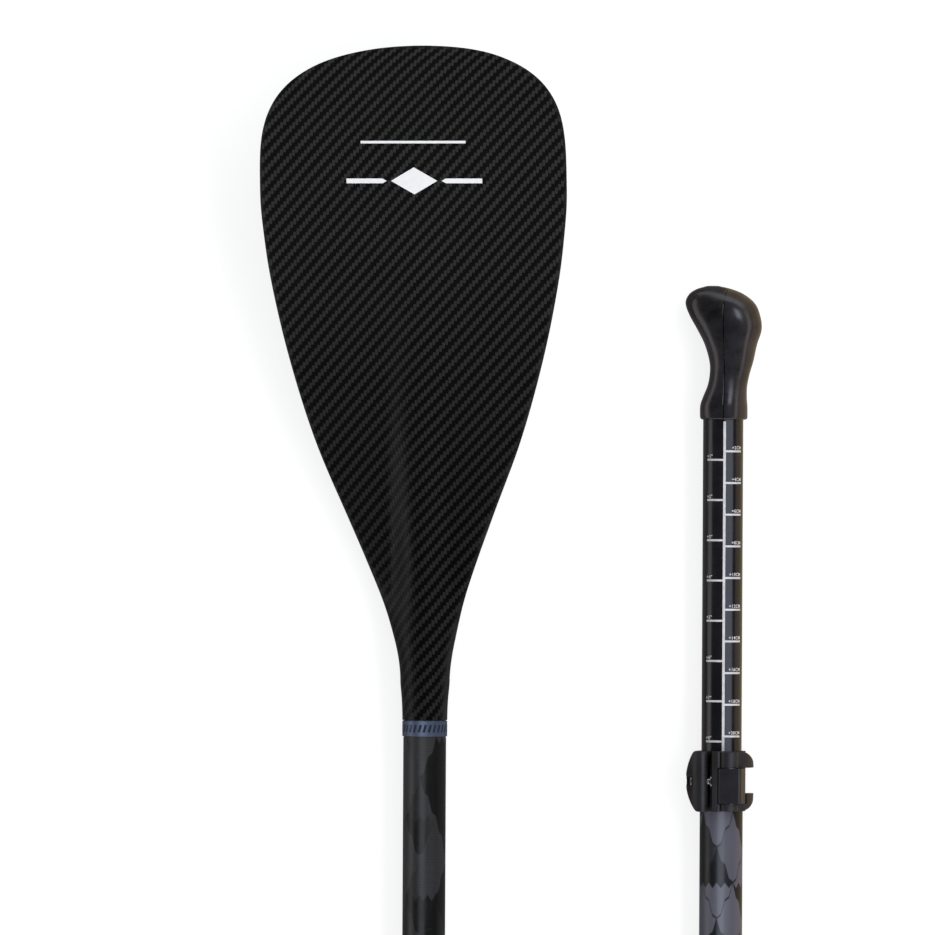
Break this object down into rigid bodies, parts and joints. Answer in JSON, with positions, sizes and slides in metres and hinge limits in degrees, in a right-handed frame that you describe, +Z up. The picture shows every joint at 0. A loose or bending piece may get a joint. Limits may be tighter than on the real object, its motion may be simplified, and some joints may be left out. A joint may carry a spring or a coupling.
{
  "type": "stand-up paddle",
  "caption": "Take-apart, adjustable carbon stand-up paddle: blade section and telescopic upper section with lever clamp and palm grip, lying side by side.",
  "frame": {"origin": "centre of the whole at its base, on the floor that both sections lie on", "axes": "+Y along both shafts towards the blade's tip and the handle, +X from the blade section to the upper section, +Z up"},
  "size_m": [0.3157, 1.2102, 0.0769],
  "materials": {
    "carbon_weave": "satin twill carbon weave",
    "foam_core": "matte closed-cell foam",
    "band_metal": "satin blue-grey",
    "carbon_shaft": "satin wrapped carbon tube",
    "pattern_shaft": "satin, tonal grey facets",
    "extension_gloss": "gloss with white scale",
    "ferrule_carbon": "ground matte carbon",
    "black_nylon": "matte moulded",
    "grey_nylon": "satin moulded",
    "grip_plastic": "satin moulded",
    "natural_nylon": "matte moulded",
    "steel": "satin",
    "bung_foam": "matte closed-cell foam"
  },
  "bodies": {
    "blade_section": {"blade_back_skin": "carbon_weave", "blade_face_skin": "carbon_weave", "blade_core": "foam_core", "neck_band": "band_metal", "lower_shaft": "carbon_shaft", "shaft_bung": "bung_foam", "ferrule": "ferrule_carbon", "button_spring": "steel"},
    "snap_button": {"snap_button": "steel"},
    "joint_ring": {"joint_ring": "grey_nylon"},
    "upper_section": {"mid_shaft": "pattern_shaft", "mouth_collar": "black_nylon", "float_plug": "bung_foam", "clamp_collar": "black_nylon", "pivot_block": "grey_nylon", "barrel_pin": "steel", "screw_washer": "steel"},
    "tension_screw": {"clamp_screw": "steel"},
    "lever": {"cam_lever": "black_nylon"},
    "bush": {"guide_bush": "natural_nylon"},
    "extension": {"extension_tube": "extension_gloss", "extension_plug": "black_nylon", "handle_spigot": "black_nylon", "handle_grip": "grip_plastic"}
  },
  "joints": [
    {"name": "section_push", "type": "slide", "parent": "blade_section", "child": "joint_ring", "axis": [0, 1, 0], "range_m": [0, 0.0537]},
    {"name": "section_turn", "type": "hinge", "parent": "joint_ring", "child": "upper_section", "pos_m": [0.0377, -0.44415, 0.016], "axis": [0, 0, -1], "range_deg": [0, 180]},
    {"name": "button_press", "type": "slide", "parent": "blade_section", "child": "snap_button", "axis": [0, 0, -1], "range_m": [0, 0.003], "stiffness_N_per_m": 1500, "springref_m": -0.002, "deforming": ["button_spring"]},
    {"name": "tension_turn", "type": "hinge", "parent": "upper_section", "child": "tension_screw", "pos_m": [0.11395, 0.142, 0.0365], "axis": [1, 0, 0], "continuous": true},
    {"name": "lever_open", "type": "hinge", "parent": "upper_section", "child": "lever", "pos_m": [0.14335, 0.142, 0.0365], "axis": [0, -1, 0], "range_deg": [0, 150]},
    {"name": "extension_slide", "type": "slide", "parent": "upper_section", "child": "bush", "axis": [0, 1, 0], "range_m": [-0.205, 0.169]},
    {"name": "handle_turn", "type": "hinge", "parent": "bush", "child": "extension", "pos_m": [0.13395, 0.1681, 0.016], "axis": [0, 1, 0], "continuous": true}
  ]
}
